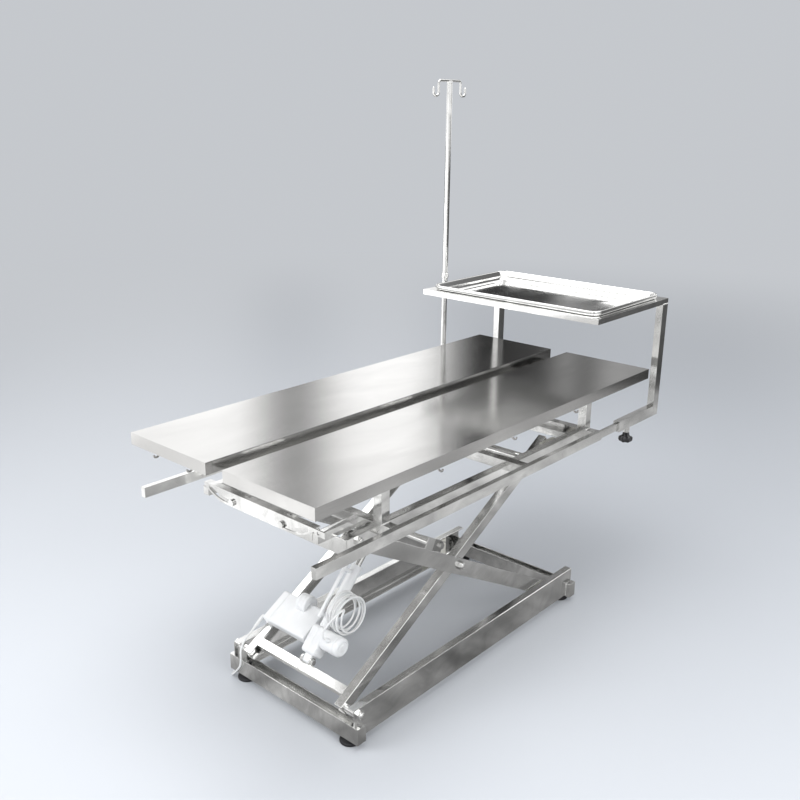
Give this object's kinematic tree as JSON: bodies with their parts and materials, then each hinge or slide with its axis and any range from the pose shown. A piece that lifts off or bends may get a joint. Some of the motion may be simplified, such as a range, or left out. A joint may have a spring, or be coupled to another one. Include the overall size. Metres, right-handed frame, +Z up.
{
  "type": "veterinary dissection table",
  "caption": "Stainless table with a V-tilting two-panel top over a drain trough, electric scissor lift, sliding instrument tray and drip stand.",
  "frame": {"origin": "middle of the outline, without the cables, on the floor", "axes": "+X towards the tray end, +Y towards the side with the drip stand, +Z up"},
  "size_m": [1.395, 0.655, 1.4653],
  "materials": {
    "brushed_steel": "fine brushed stainless",
    "polished_steel": "polished stainless",
    "bright_steel": "bright plated",
    "white_shell": "smooth white",
    "white_cable": "soft white sheath",
    "nylon": "natural nylon",
    "black_rubber": "matt",
    "black_plastic": "moulded",
    "black_paint": "black enamel"
  },
  "bodies": {
    "base": {"side_channel_left": "polished_steel", "side_channel_right": "polished_steel", "cross_channel_near": "polished_steel", "cross_channel_far": "polished_steel", "lower_pivots": "bright_steel", "mains_lead": "white_cable", "mains_coil": "white_cable", "mains_plug": "white_cable"},
    "foot_near_left": {"foot_near_left": "black_rubber"},
    "foot_near_right": {"foot_near_right": "black_rubber"},
    "foot_far_left": {"foot_far_left": "black_rubber"},
    "foot_far_right": {"foot_far_right": "black_rubber"},
    "arm_a": {"arm_a_left": "polished_steel", "arm_a_right": "polished_steel", "arm_a_cross_low": "bright_steel", "arm_a_cross_high": "polished_steel", "arm_a_pins": "bright_steel", "control_box": "white_shell"},
    "arm_b": {"arm_b_left": "polished_steel", "arm_b_right": "polished_steel", "arm_b_cross": "bright_steel", "arm_b_pins": "bright_steel"},
    "slider_lower_left": {"slider_lower_left": "nylon"},
    "slider_lower_right": {"slider_lower_right": "nylon"},
    "slider_upper_left": {"slider_upper_left": "nylon"},
    "slider_upper_right": {"slider_upper_right": "nylon"},
    "actuator": {"actuator_case": "white_shell", "actuator_tube": "white_shell", "motor_cable": "white_cable", "cable_hank": "white_cable"},
    "actuator_rod": {"actuator_rod": "polished_steel"},
    "platform": {"upper_channel_left": "polished_steel", "upper_channel_right": "polished_steel", "upper_end_plates": "polished_steel", "upper_pivots": "bright_steel", "crosspiece_near": "polished_steel", "crosspiece_mid": "polished_steel", "crosspiece_far": "polished_steel", "rest_pads": "black_rubber", "rail_left": "polished_steel", "rail_right": "polished_steel", "saddle": "polished_steel", "drain_trough": "polished_steel", "hinge_pins": "bright_steel", "pole_clamp": "polished_steel"},
    "panel_left": {"panel_left": "brushed_steel", "hinge_leaf_left": "bright_steel"},
    "panel_right": {"panel_right": "brushed_steel", "hinge_leaf_right": "bright_steel"},
    "strut_body_left": {"strut_body_left": "black_paint"},
    "strut_body_right": {"strut_body_right": "black_paint"},
    "strut_rod_left": {"strut_rod_left": "bright_steel"},
    "strut_rod_right": {"strut_rod_right": "bright_steel"},
    "tray_frame": {"tray_frame": "polished_steel"},
    "tray": {"tray": "polished_steel"},
    "star_knob_left": {"star_knob_left": "black_plastic"},
    "star_knob_right": {"star_knob_right": "black_plastic"},
    "drip_pole": {"drip_pole": "polished_steel"},
    "bottle_hook": {"bottle_hook": "polished_steel"},
    "pole_knob": {"pole_knob": "black_plastic"}
  },
  "joints": [
    {"name": "lift", "type": "hinge", "parent": "base", "child": "arm_a", "pos_m": [-0.4925, -0.0245, 0.084], "axis": [0, -1, 0], "range_deg": [-9, 12.5]},
    {"name": "scissor_centre", "type": "hinge", "parent": "arm_a", "child": "arm_b", "pos_m": [-0.10573, -0.0245, 0.3], "axis": [0, -1, 0], "range_deg": [-25, 18]},
    {"name": "upper_pivot", "type": "hinge", "parent": "arm_b", "child": "platform", "pos_m": [-0.4925, -0.0245, 0.516], "axis": [0, -1, 0], "range_deg": [-9, 12.5]},
    {"name": "slider_lower_left_pivot", "type": "hinge", "parent": "arm_b", "child": "slider_lower_left", "pos_m": [0.28104, 0.1735, 0.084], "axis": [0, -1, 0], "range_deg": [-9, 12.5]},
    {"name": "slider_upper_left_pivot", "type": "hinge", "parent": "arm_a", "child": "slider_upper_left", "pos_m": [0.28104, 0.1735, 0.516], "axis": [0, -1, 0], "range_deg": [-12.5, 9]},
    {"name": "slider_lower_right_pivot", "type": "hinge", "parent": "arm_b", "child": "slider_lower_right", "pos_m": [0.28104, -0.2225, 0.084], "axis": [0, -1, 0], "range_deg": [-9, 12.5]},
    {"name": "slider_upper_right_pivot", "type": "hinge", "parent": "arm_a", "child": "slider_upper_right", "pos_m": [0.28104, -0.2225, 0.516], "axis": [0, -1, 0], "range_deg": [-12.5, 9]},
    {"name": "actuator_pivot", "type": "hinge", "parent": "arm_a", "child": "actuator", "pos_m": [-0.46384, -0.0375, 0.12291], "axis": [0, -1, 0], "range_deg": [-1.3, 1.8]},
    {"name": "actuator_stroke", "type": "slide", "parent": "actuator", "child": "actuator_rod", "axis": [0.678, 0, 0.7351], "range_m": [-0.0462, 0.0642]},
    {"name": "tilt_left", "type": "hinge", "parent": "platform", "child": "panel_left", "pos_m": [-0.0475, 0.0045, 0.652], "axis": [1, 0, 0], "range_deg": [0, 30]},
    {"name": "strut_left_pivot", "type": "hinge", "parent": "platform", "child": "strut_body_left", "pos_m": [0.0275, 0.0455, 0.575], "axis": [1, 0, 0], "range_deg": [0, 27]},
    {"name": "strut_left_stroke", "type": "slide", "parent": "strut_body_left", "child": "strut_rod_left", "axis": [0, 0.8838, 0.4679], "range_m": [0, 0.045]},
    {"name": "tilt_right", "type": "hinge", "parent": "platform", "child": "panel_right", "pos_m": [-0.0475, -0.0535, 0.652], "axis": [-1, 0, 0], "range_deg": [0, 30]},
    {"name": "strut_right_pivot", "type": "hinge", "parent": "platform", "child": "strut_body_right", "pos_m": [0.0275, -0.0945, 0.575], "axis": [-1, 0, 0], "range_deg": [0, 27]},
    {"name": "strut_right_stroke", "type": "slide", "parent": "strut_body_right", "child": "strut_rod_right", "axis": [0, -0.8838, 0.4679], "range_m": [0, 0.045]},
    {"name": "tray_frame_slide", "type": "slide", "parent": "platform", "child": "tray_frame", "axis": [1, 0, 0], "range_m": [-0.06, 0.06]},
    {"name": "tray_lift", "type": "slide", "parent": "tray_frame", "child": "tray", "axis": [0, 0, 1], "range_m": [0, 0.15]},
    {"name": "star_knob_left_turn", "type": "hinge", "parent": "tray_frame", "child": "star_knob_left", "pos_m": [0.5305, 0.2585, 0.496], "axis": [0, 0, 1], "continuous": true},
    {"name": "star_knob_right_turn", "type": "hinge", "parent": "tray_frame", "child": "star_knob_right", "pos_m": [0.5305, -0.3075, 0.496], "axis": [0, 0, 1], "continuous": true},
    {"name": "pole_slide", "type": "slide", "parent": "platform", "child": "drip_pole", "axis": [0, 0, 1], "range_m": [-0.15, 0.1]},
    {"name": "bottle_hook_turn", "type": "hinge", "parent": "drip_pole", "child": "bottle_hook", "pos_m": [0.4275, 0.2865, 1.4535], "axis": [0, 0, 1], "continuous": true},
    {"name": "pole_knob_turn", "type": "hinge", "parent": "platform", "child": "pole_knob", "pos_m": [0.4275, 0.3165, 0.5425], "axis": [0, 1, 0], "continuous": true},
    {"name": "foot_near_left_turn", "type": "hinge", "parent": "base", "child": "foot_near_left", "pos_m": [-0.4925, 0.1585, 0.01], "axis": [0, 0, 1], "continuous": true},
    {"name": "foot_near_right_turn", "type": "hinge", "parent": "base", "child": "foot_near_right", "pos_m": [-0.4925, -0.2075, 0.01], "axis": [0, 0, 1], "continuous": true},
    {"name": "foot_far_left_turn", "type": "hinge", "parent": "base", "child": "foot_far_left", "pos_m": [0.3935, 0.1585, 0.01], "axis": [0, 0, 1], "continuous": true},
    {"name": "foot_far_right_turn", "type": "hinge", "parent": "base", "child": "foot_far_right", "pos_m": [0.3935, -0.2075, 0.01], "axis": [0, 0, 1], "continuous": true}
  ],
  "couplings": [
    {"joint": "scissor_centre", "follows": "lift", "ratio": -2},
    {"joint": "upper_pivot", "follows": "lift", "ratio": 1},
    {"joint": "slider_lower_left_pivot", "follows": "lift", "ratio": 1},
    {"joint": "slider_upper_left_pivot", "follows": "lift", "ratio": -1},
    {"joint": "slider_lower_right_pivot", "follows": "lift", "ratio": 1},
    {"joint": "slider_upper_right_pivot", "follows": "lift", "ratio": -1},
    {"joint": "actuator_pivot", "follows": "lift", "ratio": 0.1371},
    {"joint": "actuator_stroke", "follows": "lift", "m_per_rad": 0.2929},
    {"joint": "strut_left_pivot", "follows": "tilt_left", "ratio": 0.8915},
    {"joint": "strut_left_stroke", "follows": "tilt_left", "m_per_rad": 0.0844},
    {"joint": "strut_right_pivot", "follows": "tilt_right", "ratio": 0.8915},
    {"joint": "strut_right_stroke", "follows": "tilt_right", "m_per_rad": 0.0844}
  ]
}
